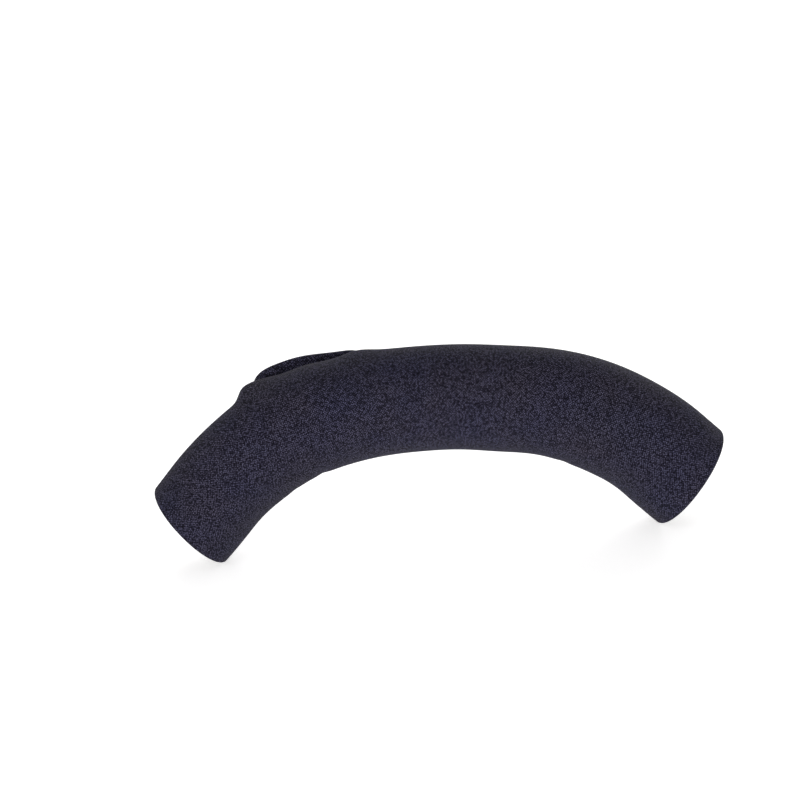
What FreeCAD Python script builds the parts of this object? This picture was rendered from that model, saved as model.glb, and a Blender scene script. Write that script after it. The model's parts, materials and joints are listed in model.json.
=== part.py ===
"""Padded hand guard for the tube of a brass instrument: a bent neoprene sleeve with two closing tabs.

Frame, in millimetres: +X runs along the arch from its left end to its right end, +Z points out of the
bend at the crown, and +Y points to the back, where the slit and the tabs are. The origin is the middle
of the tunnel at the crown.

Round the sleeve, places are given by an angle: 0 is the front, 90 the outside of the bend, 180 the back
and 270 the inside of the bend. Along the sleeve, places are given by the distance from the crown.
"""
import FreeCAD, Part
import math
import os

from FreeCAD import Placement, Rotation, Vector

# --- the arch: a flat crown, two tighter shoulders and two straight ends ---
CROWN_RADIUS = 155.0
CROWN_HALF_LENGTH = 25.0
SHOULDER_RADIUS = 72.0
SHOULDER_LENGTH = 46.5
END_LENGTH = 11.0
END_SKEW = 8.5  # degrees by which each end is cut short on the outside of the bend
END_OVERRUN = 6.0  # what the sheet runs on before the skewed cut

# --- the sleeve: a knit face, a neoprene core and a jersey lining, bonded together ---
BORE_RADIUS = 11.2
LINING = 0.5
FOAM = 3.0
COVER = 0.5
FOAM_INNER = BORE_RADIUS + LINING
COVER_INNER = FOAM_INNER + FOAM
SLEEVE_RADIUS = COVER_INNER + COVER
SLIT_UPPER = 210.0  # the two long edges of the rolled sheet
SLIT_LOWER = 218.0

# --- the hook and loop fastener ---
LOOP_TAPE = 0.8
HOOK_TAPE = 0.9
TAPE_GAP = 0.1
TAPE_CORNER = 2.0
LOOP_ANGLES = (138.0, 200.0)
LOOP_HALF_WIDTH = 20.0
HOOK_ANGLES = (154.0, 190.0)
HOOK_HALF_WIDTH = 14.5

# --- the two tabs, made of the same laminate but thinner ---
# each tab's place along the sleeve, and the angles that the left and right ends of its slanting tip
# reach: the left tab is pulled further round
TABS = {"left": (-30.0, (120.0, 146.0)), "right": (30.0, (143.0, 151.0))}
TAB_LINING = 0.4
TAB_FOAM = 2.2
TAB_COVER = 0.4
TAB_THICKNESS = TAB_LINING + TAB_FOAM + TAB_COVER
TAB_CLEARANCE = 0.05
TAB_TIP_HALF_WIDTH = 16.5
TAB_ROOT_HALF_WIDTH = 18.0
TAB_CORNER = 5.0
TAB_VIEW = 10.0  # degrees past its tip from which a tab's outline is square
HINGE_ANGLE = 229.5
HINGE_GAP = 0.4
LIFT_END_ANGLE = 204.0  # from here to the tip the tab lies on the fastener
ROOT_END_ANGLE = 252.0
ROOT_CORNER = 3.0
TAB_SPARE = 5.0  # extra width, trimmed off by each tab's outline
TAB_OVERRUN = 7.0  # degrees that each section runs on past its tip and past its hinge before trimming

# --- the sewing thread ---
THREAD_RADIUS = 0.18
STITCH_LENGTH = 2.1
STITCH_PITCH = 2.8
STITCH_LIFT = 0.08  # keeps a straight stitch clear of the curved face under it
SEAM_INSET = 1.6
ROOT_SEAM_START = 5.5  # degrees past the hinge that the root's box of stitches begins, before its inset

FAR = 60.0  # longer than any cut needs
HALF_LENGTH = CROWN_HALF_LENGTH + SHOULDER_LENGTH + END_LENGTH
Y_AXIS = Vector(0, 1, 0)


# --- the centre line ---
def spine(along):
    """Place and tilt of the centre line, at a signed distance from the crown."""
    side = math.copysign(1.0, along)
    rest = abs(along)
    arc = min(rest, CROWN_HALF_LENGTH)
    tilt = arc / CROWN_RADIUS
    x = CROWN_RADIUS * math.sin(tilt)
    z = CROWN_RADIUS * (math.cos(tilt) - 1.0)
    rest -= arc
    arc = min(rest, SHOULDER_LENGTH)
    turned = tilt + arc / SHOULDER_RADIUS
    x += SHOULDER_RADIUS * (math.sin(turned) - math.sin(tilt))
    z += SHOULDER_RADIUS * (math.cos(turned) - math.cos(tilt))
    rest -= arc
    x += rest * math.cos(turned)
    z -= rest * math.sin(turned)
    return Placement(Vector(side * x, 0, z), Rotation(Y_AXIS, side * math.degrees(turned)))


def around(angle, radius=1.0):
    """A vector across the sleeve, in the section at the crown."""
    a = math.radians(angle)
    return Vector(0, -radius * math.cos(a), radius * math.sin(a))


def on_sleeve(along, angle, radius):
    """A point at a distance along the sleeve, an angle round it and a radius from its centre line."""
    return spine(along).multVec(around(angle, radius))


def turning(angle):
    """The direction in which a point moves as its angle round the sleeve grows."""
    a = math.radians(angle)
    return Vector(0, math.sin(a), math.cos(a))


def arc(radius, start, end):
    """An arc round the centre line, in the section at the crown."""
    points = [around(angle, radius) for angle in (start, (start + end) / 2.0, end)]
    return Part.Arc(*points).toShape()


# --- sections, drawn at the crown and carried along the centre line ---
def ring_section(inner, outer, start, end):
    """Part of a ring, from one angle to another."""
    edges = [
        arc(outer, start, end),
        Part.makeLine(around(end, outer), around(end, inner)),
        arc(inner, start, end),
        Part.makeLine(around(start, inner), around(start, outer)),
    ]
    return Part.Face(Part.Wire(Part.__sortEdges__(edges)))


def tab_rise(angle):
    """How far the tab's inner face stands off the sleeve: low at the hinge, then up onto the fastener."""
    top = LOOP_TAPE + TAPE_GAP + HOOK_TAPE + TAB_CLEARANCE
    share = (HINGE_ANGLE - angle) / (HINGE_ANGLE - LIFT_END_ANGLE)
    share = max(0.0, min(1.0, share))
    ease = share * share * (3.0 - 2.0 * share)
    return TAB_CLEARANCE + (top - TAB_CLEARANCE) * ease


def tab_face(height, first_angle):
    """One face of a free tab in section: over the fastener, down an easy fall and on past the hinge."""
    steps = 8
    angles = [LIFT_END_ANGLE + (HINGE_ANGLE - LIFT_END_ANGLE) * i / steps for i in range(steps + 1)]
    radii = [SLEEVE_RADIUS + height + tab_rise(a) for a in angles]
    points = [around(a, r) for a, r in zip(angles, radii)]
    fall = Part.BSplineCurve()
    fall.interpolate(
        Points=points, InitialTangent=turning(LIFT_END_ANGLE), FinalTangent=turning(HINGE_ANGLE)
    )
    lying = arc(radii[0], first_angle, LIFT_END_ANGLE)
    past_hinge = arc(radii[-1], HINGE_ANGLE, HINGE_ANGLE + TAB_OVERRUN)
    return [lying, fall.toShape(), past_hinge]


def tab_section(inner, outer, first_angle):
    """A layer of the free tab, between two heights above its inner face, a little longer than the tab."""
    low, high = tab_face(inner, first_angle), tab_face(outer, first_angle)
    tip = Part.makeLine(low[0].Vertexes[0].Point, high[0].Vertexes[0].Point)
    end = Part.makeLine(low[-1].Vertexes[-1].Point, high[-1].Vertexes[-1].Point)
    return Part.Face(Part.Wire(Part.__sortEdges__(low + high + [tip, end])))


def bent(section, start, end):
    """The solid that a section makes as it runs along the centre line from one distance to another."""
    turn = CROWN_HALF_LENGTH + SHOULDER_LENGTH
    last = HALF_LENGTH + END_OVERRUN
    joints = [-last, -turn, -CROWN_HALF_LENGTH, CROWN_HALF_LENGTH, turn, last]
    radii = [None, SHOULDER_RADIUS, CROWN_RADIUS, SHOULDER_RADIUS, None]
    pieces = []
    for low, high, radius in zip(joints[:-1], joints[1:], radii):
        a, b = max(low, start), min(high, end)
        if b - a < 1e-6:
            continue
        here = spine(a)
        face = section.copy()
        face.Placement = here
        if radius is None:
            pieces.append(face.extrude(here.Rotation.multVec(Vector(b - a, 0, 0))))
        else:
            centre = here.multVec(Vector(0, 0, -radius))
            pieces.append(face.revolve(centre, Y_AXIS, math.degrees((b - a) / radius)))
    whole = pieces[0]
    if len(pieces) > 1:
        whole = whole.fuse(pieces[1:]).removeSplitter()
    return whole


# --- cuts ---
def end_cutter(side):
    """The space past one skewed end of the sleeve."""
    block = Part.makeBox(FAR, 2 * FAR, 2 * FAR, Vector(0, -FAR, -FAR))
    if side < 0:
        block.translate(Vector(-FAR, 0, 0))
    end = spine(side * HALF_LENGTH)
    skew = Rotation(Y_AXIS, -side * END_SKEW)
    block.Placement = Placement(end.Base, end.Rotation * skew) * block.Placement
    return block


def hinge_side(along, shift, to_tip):
    """The half of space on one side of a tab's hinge plane, moved by a shift towards the tip."""
    block = Part.makeBox(2 * FAR, FAR, 2 * FAR, Vector(-FAR, 0, -FAR))
    if not to_tip:
        block.translate(Vector(0, -FAR, 0))
    block.translate(Vector(0, shift, 0))
    # the block's +Y turns to the direction in which the tab leaves the hinge
    turn = Rotation(Vector(1, 0, 0), 270.0 - HINGE_ANGLE)
    here = spine(along)
    block.Placement = Placement(here.Base, here.Rotation * turn) * block.Placement
    return block


def outline(along, view, corners):
    """A flat outline, seen square on at one angle round the sleeve, as a long block.

    A corner is (distance along the sleeve, distance across the view towards the outside of the bend,
    corner radius)."""
    loop = [Vector(x, 0, across) for x, across, _ in corners]
    block = Part.Face(Part.makePolygon(loop + loop[:1])).extrude(Vector(0, FAR, 0))
    for x, across, radius in corners:
        if radius > 0:
            corner = Vector(x, 0, across)
            near = [e for e in block.Edges if all(off_axis(v.Point - corner) < 1e-6 for v in e.Vertexes)]
            block = block.makeFillet(radius, near)
    here = spine(along)
    block.Placement = Placement(here.Base, here.Rotation * Rotation(Vector(1, 0, 0), 180.0 - view))
    return block


def off_axis(offset):
    """How far an offset reaches away from the Y axis."""
    return math.hypot(offset.x, offset.z)


def one_solid(shape, what):
    """The shape as one solid; anything else is a mistake in the sizes above."""
    solids = shape.Solids
    if len(solids) != 1 or not solids[0].isValid():
        raise RuntimeError(f"{what} came out as {len(solids)} solids")
    return solids[0]


# --- the pieces ---
def sleeve_layer(inner, outer):
    """A layer of the rolled sheet, cut on the skew at both ends."""
    section = ring_section(inner, outer, SLIT_LOWER - 360.0, SLIT_UPPER)
    last = HALF_LENGTH + END_OVERRUN
    layer = bent(section, -last, last)
    for side in (-1, 1):
        layer = layer.cut(end_cutter(side))
    return one_solid(layer.removeSplitter(), "sleeve layer")


def tape(along, inner, outer, angles, half_width):
    """A rectangle of tape with rounded corners, lying round the back of the sleeve."""
    view = sum(angles) / 2.0
    reach = outer * math.sin(math.radians((angles[1] - angles[0]) / 2.0))
    spare = half_width + TAB_SPARE
    blank = bent(ring_section(inner, outer, *angles), along - spare, along + spare)
    signs = ((-1, -1), (1, -1), (1, 1), (-1, 1))
    plan = outline(along, view, [(half_width * i, reach * j, TAPE_CORNER) for i, j in signs])
    return one_solid(blank.common(plan), "tape")


def free_tab_layer(along, tip_angles, inner, outer):
    """A layer of the part of a tab that lifts."""
    view = sum(tip_angles) / 2.0 + TAB_VIEW
    tips = [(SLEEVE_RADIUS + tab_rise(a)) * math.sin(math.radians(view - a)) for a in tip_angles]
    below = -SLEEVE_RADIUS - TAB_SPARE
    plan = outline(along, view, [
        (-TAB_ROOT_HALF_WIDTH, below, 0), (TAB_ROOT_HALF_WIDTH, below, 0),
        (TAB_TIP_HALF_WIDTH, tips[1], TAB_CORNER), (-TAB_TIP_HALF_WIDTH, tips[0], TAB_CORNER),
    ])
    reach = TAB_ROOT_HALF_WIDTH + TAB_SPARE
    section = tab_section(inner, outer, min(tip_angles) - TAB_OVERRUN)
    blank = bent(section, along - reach, along + reach)
    return one_solid(blank.common(plan).common(hinge_side(along, 0.0, True)), "free tab layer")


def tab_root_layer(along, inner, outer):
    """A layer of the part of a tab that is sewn to the sleeve."""
    view = (HINGE_ANGLE + ROOT_END_ANGLE) / 2.0
    low = -SLEEVE_RADIUS * math.sin(math.radians(ROOT_END_ANGLE - view))
    half = TAB_ROOT_HALF_WIDTH
    plan = outline(along, view, [
        (-half, low, ROOT_CORNER), (half, low, ROOT_CORNER), (half, FAR, 0), (-half, FAR, 0),
    ])
    angles = (HINGE_ANGLE - TAB_OVERRUN, ROOT_END_ANGLE + TAB_OVERRUN)
    section = ring_section(SLEEVE_RADIUS + inner, SLEEVE_RADIUS + outer, *angles)
    reach = half + TAB_SPARE
    blank = bent(section, along - reach, along + reach)
    return one_solid(blank.common(plan).common(hinge_side(along, -HINGE_GAP, False)), "tab root layer")


def stitch(start, end):
    """One straight stitch of thread with rounded ends."""
    run = end - start
    shape = Part.makeCylinder(THREAD_RADIUS, run.Length, start, run)
    ends = [Part.makeSphere(THREAD_RADIUS, p) for p in (start, end)]
    return shape.fuse(ends).removeSplitter().Solids[0]


def seam(along, corners, radius_at):
    """A run of stitches from corner to corner. A corner is (distance from the tab's middle, angle)."""
    stitches = []
    for (x0, a0), (x1, a1) in zip(corners[:-1], corners[1:]):
        width = abs(a1 - a0) * math.pi / 180.0 * radius_at((a0 + a1) / 2.0)
        count = max(1, round(math.hypot(x1 - x0, width) / STITCH_PITCH))
        half = STITCH_LENGTH / STITCH_PITCH / 2.0
        for i in range(count):
            ends = []
            for t in ((i + 0.5 - half) / count, (i + 0.5 + half) / count):
                x, a = x0 + (x1 - x0) * t, a0 + (a1 - a0) * t
                ends.append(on_sleeve(along + x, a, radius_at(a) + THREAD_RADIUS + STITCH_LIFT))
            stitches.append(stitch(*ends))
    return Part.makeCompound(stitches)


def frame_of(half_width, angles, inset, radius):
    """The four corners of a seam that runs round a rectangle, inset from its edge, closed."""
    x = half_width - inset
    turn = math.degrees(inset / radius)
    a, b = angles[0] + turn, angles[1] - turn
    return [(-x, a), (x, a), (x, b), (-x, b), (-x, a)]


def tab_pieces(side, along, tip_angles):
    """Every piece of one closing tab, with its tapes and seams."""
    loop_face = SLEEVE_RADIUS + LOOP_TAPE
    hook_inner = loop_face + TAPE_GAP
    heights = {"lining": (0.0, TAB_LINING), "foam": (TAB_LINING, TAB_LINING + TAB_FOAM),
               "cover": (TAB_LINING + TAB_FOAM, TAB_THICKNESS)}
    made = {
        f"{side}_loop_tape": tape(along, SLEEVE_RADIUS, loop_face, LOOP_ANGLES, LOOP_HALF_WIDTH),
        f"{side}_hook_tape": tape(along, hook_inner, hook_inner + HOOK_TAPE, HOOK_ANGLES, HOOK_HALF_WIDTH),
    }
    for layer, (inner, outer) in heights.items():
        made[f"{side}_tab_{layer}"] = free_tab_layer(along, tip_angles, inner, outer)
        made[f"{side}_tab_root_{layer}"] = tab_root_layer(along, inner, outer)

    def tab_top(angle):
        return SLEEVE_RADIUS + tab_rise(angle) + TAB_THICKNESS

    loop_seam = frame_of(LOOP_HALF_WIDTH, LOOP_ANGLES, SEAM_INSET, loop_face)
    hook_seam = frame_of(HOOK_HALF_WIDTH, HOOK_ANGLES, SEAM_INSET, tab_top(HOOK_ANGLES[0]))
    root_radius = SLEEVE_RADIUS + TAB_THICKNESS
    root_angles = (HINGE_ANGLE + ROOT_SEAM_START, ROOT_END_ANGLE)
    root_seam = frame_of(TAB_ROOT_HALF_WIDTH, root_angles, SEAM_INSET, root_radius)
    root_seam.append(root_seam[2])  # one diagonal of the cross in the box
    made[f"{side}_loop_stitching"] = seam(along, loop_seam, lambda a: loop_face)
    made[f"{side}_hook_stitching"] = seam(along, hook_seam, tab_top)
    made[f"{side}_root_stitching"] = seam(along, root_seam, lambda a: root_radius)
    return made


def build():
    """Every piece by name."""
    pieces = {
        "sleeve_lining": sleeve_layer(BORE_RADIUS, FOAM_INNER),
        "sleeve_foam": sleeve_layer(FOAM_INNER, COVER_INNER),
        "sleeve_cover": sleeve_layer(COVER_INNER, SLEEVE_RADIUS),
    }
    for side, (along, tip_angles) in TABS.items():
        pieces.update(tab_pieces(side, along, tip_angles))
    return pieces


os.makedirs("parts", exist_ok=True)
for name, shape in build().items():
    shape.exportStep(f"parts/{name}.step")
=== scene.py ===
"""Looks of the padded hand guard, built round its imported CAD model.

Lengths are in metres in the row frame: +X along the arch, +Y to the back, +Z out of the bend at the
crown. Places on the sleeve are (distance from the crown, angle round it, radius), with the angle 0 at the
front, 90 outside the bend, 180 at the back and 270 inside the bend.
"""

import json
import math

import bmesh
import bpy
import numpy as np
from mathutils import Matrix, Vector

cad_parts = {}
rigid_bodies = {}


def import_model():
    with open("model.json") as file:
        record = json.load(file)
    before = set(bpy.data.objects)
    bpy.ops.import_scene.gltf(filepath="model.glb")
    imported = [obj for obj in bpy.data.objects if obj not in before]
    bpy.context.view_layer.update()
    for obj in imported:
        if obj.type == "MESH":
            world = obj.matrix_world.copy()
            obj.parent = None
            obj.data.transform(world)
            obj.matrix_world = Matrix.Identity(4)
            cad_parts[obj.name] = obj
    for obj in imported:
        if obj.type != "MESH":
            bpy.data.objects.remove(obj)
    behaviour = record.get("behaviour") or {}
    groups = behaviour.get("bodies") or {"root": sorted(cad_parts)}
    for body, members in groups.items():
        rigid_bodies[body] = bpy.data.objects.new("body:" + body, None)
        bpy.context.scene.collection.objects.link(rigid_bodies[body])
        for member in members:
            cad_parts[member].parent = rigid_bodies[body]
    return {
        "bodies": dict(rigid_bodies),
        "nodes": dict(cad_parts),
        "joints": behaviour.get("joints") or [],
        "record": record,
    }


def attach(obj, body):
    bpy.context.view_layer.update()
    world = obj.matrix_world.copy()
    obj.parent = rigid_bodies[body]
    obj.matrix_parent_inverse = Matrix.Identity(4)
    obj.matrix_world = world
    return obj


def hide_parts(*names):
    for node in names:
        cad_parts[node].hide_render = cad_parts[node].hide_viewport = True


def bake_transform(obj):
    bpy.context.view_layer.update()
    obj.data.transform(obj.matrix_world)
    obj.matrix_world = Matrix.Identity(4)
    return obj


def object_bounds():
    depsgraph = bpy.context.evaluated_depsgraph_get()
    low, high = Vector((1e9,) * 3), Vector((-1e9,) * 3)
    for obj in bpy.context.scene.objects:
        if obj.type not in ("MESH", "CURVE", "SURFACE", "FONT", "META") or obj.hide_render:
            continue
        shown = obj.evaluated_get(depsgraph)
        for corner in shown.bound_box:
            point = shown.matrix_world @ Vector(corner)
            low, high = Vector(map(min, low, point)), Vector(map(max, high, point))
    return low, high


MM = 0.001

# --- the arch and the laminate, as the CAD has them ---
CROWN_RADIUS = 155 * MM
CROWN_HALF_LENGTH = 25 * MM
SHOULDER_RADIUS = 72 * MM
SHOULDER_LENGTH = 46.5 * MM
END_LENGTH = 11 * MM
HALF_LENGTH = CROWN_HALF_LENGTH + SHOULDER_LENGTH + END_LENGTH
BORE = 11.2 * MM
SLEEVE_THICKNESS = 4.0 * MM
SLEEVE_RADIUS = BORE + SLEEVE_THICKNESS
SLIT_LOWER = 218.0 - 360.0
SLIT_UPPER = 210.0
SHEET_LOW = math.radians(SLIT_LOWER) * SLEEVE_RADIUS  # the sleeve's two long edges, measured round it
SHEET_HIGH = math.radians(SLIT_UPPER) * SLEEVE_RADIUS
SHEET_CORNER = 3 * MM

# --- how the worn sleeve departs from the drawing: numbers without MM are millimetres ---
# slopes by which the ends are cut short on the outside of the bend: a little less than drawn
END_SKEW = {"left": math.tan(math.radians(7.6)), "right": math.tan(math.radians(7.4))}
END_STRETCH = 0.15 * MM  # of the worn ends, past the drawn ones
END_FLARE = {"left": 0.25 * MM, "right": 0.35 * MM}  # more of it on the outside and the inside of the bend
END_TURN = (0.7 * MM, 1.0 * MM)  # how far the rounded edge reaches in, at the left end and at the right
LEFT_SAG = 0.9  # of the centre line, towards the inside of the bend
CROWN_SAG = 0.85
RIGHT_RISE = 0.5
LEFT_SLIM = 0.45  # of the radius
CROWN_SLIM = 0.1
RIGHT_FULL = 0.6
RIGHT_RIM_FULL = 0.3
CREASES = ((-37.0, 0.45), (-49.0, 0.2), (44.0, 0.25))  # place along the sleeve and depth
CREASE_WIDTH = 1.6
PUFFS = ((-32.0, 6.0, 0.9), (-17.5, 5.0, 1.3))  # place along the sleeve, half width and height
PUFF_ANGLE = 2.0  # radians round the sleeve
PUFF_SPREAD = 0.42
TUCK_HEIGHT = 2.8
TUCK_ANGLE = 1.9
TUCK_SPREAD = 0.4

# --- tabs and tapes ---
# a tab's place along the sleeve, and the angles that the two ends of its slanting tip reach. The left tip
# lies 5 degrees further round than drawn, and the tips' corners are softer than drawn.
TABS = {"left": (-30 * MM, (115.0, 141.0)), "right": (30 * MM, (143.0, 151.0))}
HINGE_ANGLE = 229.5
ROOT_END_ANGLE = 252.0
LIFT_END_ANGLE = 204.0
TAPE_STACK = 1.8 * MM
TAB_CLEARANCE = 0.05 * MM
TAB_THICKNESS = 3.0 * MM
TAB_RADIUS = SLEEVE_RADIUS + TAPE_STACK  # of a closed tab's inner face, over the fastener
TAB_ROOT_HALF_WIDTH = 18 * MM
TAB_TIP_HALF_WIDTH = 16.5 * MM
TAB_CORNER = 7.5 * MM
TAB_TURN = 1.3 * MM  # how far a tab's rounded edge reaches in
TAB_CURL = {"left": (1.0 * MM, 0.3 * MM), "right": (0.4 * MM, 0.0)}  # lift of a tab's two free corners
CURL_REACH = 13 * MM  # from the tip
TIP_DROP = 1.4 * MM  # how far a tip's underside may reach down to rest on the sleeve
ROOT_CORNER = 3 * MM
LOOP_ANGLES = (138.0, 200.0)
LOOP_HALF_WIDTH = 20 * MM
HOOK_ANGLES = (154.0, 190.0)
HOOK_HALF_WIDTH = 14.5 * MM
TAPE_CORNER = 2 * MM
LOOP_TAPE_GAP = 0.06 * MM  # under the loop tape
LOOP_TAPE_THICKNESS = 0.62 * MM
HOOK_TAPE_SHOWN = 0.4 * MM  # what stands out of the tab's inner face
HOOK_PITCH_ALONG = 1.25 * MM
HOOK_PITCH_AROUND = 1.0 * MM
HOOK_MARGIN = 2.4 * MM  # of bare tape round the hooks
HOOK_RADIUS = 0.11 * MM
HOOK_LINE = ((0.0, 0.0), (0.02, 0.22), (0.12, 0.4), (0.3, 0.42), (0.38, 0.3))  # along and down, in mm
SEAM_INSET = 1.6 * MM
SEAM_GROOVE = 0.35 * MM
SEAM_GROOVE_WIDTH = 1.0 * MM
ROOT_SEAM_ANGLES = (HINGE_ANGLE + 5.5, ROOT_END_ANGLE)
BEND_LENGTH = 7 * MM  # of a tab, from its hinge to the second of the two points that bend_zone gives

# --- how the laminate is finished at its edges ---
SKIN = 0.35 * MM  # the knit and the jersey as they are seen where they turn
GAP = 0.02 * MM  # between one layer and the next
HEM = 1.2 * MM  # of knit turned under along every edge
TURN_STEPS = 8  # steps in the half turn over an edge

# --- thread ---
THREAD_RADIUS = 0.2 * MM
STITCH_PITCH = 2.8 * MM
STITCH_LENGTH = 2.25 * MM
STITCH_STEPS = 8
STITCH_ARCH = 1.15  # height of a stitch's middle over its ends, in thread radii
STITCH_SINK = 0.95  # depth of its ends, in thread radii
STITCH_LIFT = 0.12 * MM
THREAD_TAPER = 0.75  # of the thread at the two ends of a stitch

# --- the cloth that swells the padding ---
CLOTH_SCALE = 10.0  # the cloth is worked at ten times its size, as it prefers
CLOTH_PRESSURE = 4.0
CLOTH_STRETCH = 12.0
CLOTH_SHEAR = 4.0
CLOTH_BENDING = 1.0
CLOTH_FRAMES = 20
SLEEVE_CLOTH = (55, 33)  # points along the sleeve and round it
SLEEVE_SWELL = 0.45 * MM  # the most that the padding may stand out
TAB_CLOTH = (31, 29)  # points down a tab and across it
TAB_SWELL = 0.4 * MM


def mix(a, b, t):
    """The value a share t of the way from a to b."""
    return a + (b - a) * t


def smooth(t):
    """A soft step from 0 at t = 0 to 1 at t = 1."""
    t = np.clip(t, 0.0, 1.0)
    return t * t * (3.0 - 2.0 * t)


# --- the space of the sleeve ---
def spine(along):
    """x, z and tilt of the centre line at signed distances from the crown."""
    side = np.sign(along)
    rest = np.abs(along)
    arc = np.minimum(rest, CROWN_HALF_LENGTH)
    first = arc / CROWN_RADIUS
    x = CROWN_RADIUS * np.sin(first)
    z = CROWN_RADIUS * (np.cos(first) - 1.0)
    rest = rest - arc
    arc = np.minimum(rest, SHOULDER_LENGTH)
    tilt = first + arc / SHOULDER_RADIUS
    x = x + SHOULDER_RADIUS * (np.sin(tilt) - np.sin(first))
    z = z + SHOULDER_RADIUS * (np.cos(tilt) - np.cos(first))
    rest = rest - arc
    return side * (x + rest * np.cos(tilt)), z - rest * np.sin(tilt), side * tilt


def bump(where, middle, reach):
    """A smooth rise to 1 at a middle, gone at a reach on either side of it."""
    return smooth(1 - np.abs(where - middle) / reach)


def lean(along):
    """How far the worn sleeve sits out from the drawn centre line: it sags inward in two places."""
    sag = LEFT_SAG * smooth((-along - 38 * MM) / (30 * MM)) + CROWN_SAG * bump(along, 22 * MM, 34 * MM)
    return (RIGHT_RISE * smooth((along - 55 * MM) / (18 * MM)) - sag) * MM


def girth(along):
    """How much fuller in radius the worn sleeve is than drawn: slim to the left, full to the right."""
    slim = LEFT_SLIM * smooth((-along - 45 * MM) / (25 * MM)) + CROWN_SLIM * bump(along, -10 * MM, 25 * MM)
    full = RIGHT_FULL * smooth((along - 25 * MM) / (25 * MM))
    full_rim = RIGHT_RIM_FULL * smooth((along - 60 * MM) / (15 * MM))
    return (full + full_rim - slim) * MM


def place(along, angle, radius):
    """Points of the sleeve's space, as an array with x, y, z last."""
    along, angle, radius = np.broadcast_arrays(along, angle, radius)
    x, z, tilt = spine(along)
    a = np.radians(angle)
    radius = radius + girth(along)
    out = radius * np.sin(a) + lean(along)
    return np.stack([x + out * np.sin(tilt), -radius * np.cos(a), z + out * np.cos(tilt)], axis=-1)


def tab_rise(angle):
    """How far a closed tab's inner face stands off the sleeve at an angle round it."""
    share = smooth((HINGE_ANGLE - angle) / (HINGE_ANGLE - LIFT_END_ANGLE))
    return mix(TAB_CLEARANCE, TAPE_STACK + TAB_CLEARANCE, share)


# --- meshes ---
def new_object(name, points, faces, material, uv=None):
    """A smooth-shaded mesh in the scene, with its sheet coordinates where it has them."""
    mesh = bpy.data.meshes.new(name)
    mesh.from_pydata([tuple(p) for p in np.asarray(points, float).reshape(-1, 3)], [], faces)
    if uv is not None:
        layer = mesh.uv_layers.new(name="sheet")
        where = np.asarray(uv, float).reshape(-1, 2)
        index = np.zeros(len(mesh.loops), int)
        mesh.loops.foreach_get("vertex_index", index)
        layer.data.foreach_set("uv", where[index].ravel())
    mesh.polygons.foreach_set("use_smooth", [True] * len(mesh.polygons))
    mesh.materials.append(material)
    mesh.update()
    ob = bpy.data.objects.new(name, mesh)
    bpy.context.scene.collection.objects.link(ob)
    return ob


def grid_faces(rows, columns, first=0):
    """Faces between the points of a grid that starts at a first index."""
    faces = []
    for i in range(rows - 1):
        for j in range(columns - 1):
            a = first + i * columns + j
            faces.append((a, a + 1, a + columns + 1, a + columns))
    return faces


def border(rows, columns):
    """Indices round the edge of a grid, in order."""
    top = list(range(columns))
    right = [i * columns + columns - 1 for i in range(1, rows)]
    bottom = [(rows - 1) * columns + j for j in range(columns - 2, -1, -1)]
    left = [i * columns for i in range(rows - 2, 0, -1)]
    return top + right + bottom + left


def strip(first, second):
    """Faces between two closed rings of points."""
    ends = zip(first, first[1:] + first[:1], second, second[1:] + second[:1])
    return [(a, b, d, c) for a, b, c, d in ends]


def outward(ring):
    """Unit vectors pointing out of a closed outline, one at each of its points."""
    run = np.roll(ring, -1, axis=0) - np.roll(ring, 1, axis=0)
    out = np.stack([run[:, 1], -run[:, 0]], axis=-1)
    out /= np.linalg.norm(out, axis=1, keepdims=True)
    x, y = ring[:, 0], ring[:, 1]
    area = (x * np.roll(y, -1) - y * np.roll(x, -1)).sum()
    return out * np.sign(area)


def turn_faces_outward(mesh):
    work = bmesh.new()
    work.from_mesh(mesh)
    bmesh.ops.recalc_face_normals(work, faces=work.faces)
    work.to_mesh(mesh)
    work.free()


def close_up(name, points, faces, uv, material):
    """A closed mesh with its faces turned outward, smoothed by subdivision."""
    ob = new_object(name, points, faces, material, uv)
    turn_faces_outward(ob.data)
    modifier = ob.modifiers.new("smooth", "SUBSURF")
    modifier.levels = 1
    modifier.render_levels = 1
    graph = bpy.context.evaluated_depsgraph_get()
    mesh = bpy.data.meshes.new_from_object(ob.evaluated_get(graph))
    ob.modifiers.clear()
    ob.data = mesh
    mesh.polygons.foreach_set("use_smooth", [True] * len(mesh.polygons))
    return ob


def edge_lines(low, high, step):
    """Grid lines from low to high, a step apart, drawn close together at both edges."""
    near = np.array([0.0, 0.12, 0.35, 0.7, 1.2, 1.9]) * MM
    rim = 3 * MM
    count = max(2, int(round((high - low - 2 * rim) / step)) + 1)
    inner = np.linspace(low + rim, high - rim, count)
    return np.concatenate([low + near, inner, (high - near)[::-1]])


def rounded(distance, radius):
    """Height lost near a rounded edge, from the edge inwards."""
    gap = np.clip(radius - distance, 0.0, radius)
    return radius - np.sqrt(radius * radius - gap * gap)


# --- sheets: plan is a grid of (along, round) sheet coordinates, and lay turns them into points ---
def turn_over(plan, top, bottom, depth, steps):
    """Rings of (sheet coordinates, height, travel) over the rounded edge of a pad.

    depth is how far the edge stands out past the plan's border, and travel is measured over the edge."""
    ring = border(*top.shape)
    edge = plan.reshape(-1, 2)[ring]
    high, low, reach = (field.reshape(-1)[ring] for field in (top, bottom, depth))
    out = outward(edge)
    rings = []
    for step in steps:
        turn = math.pi * step / TURN_STEPS
        height = (high + low) / 2 + (high - low) / 2 * math.cos(turn)
        travel = turn * ((high - low) / 2 + reach) / 2
        rings.append((edge + out * (reach * math.sin(turn))[:, None], height, edge + out * travel[:, None]))
    return rings, edge, out, low


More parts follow.
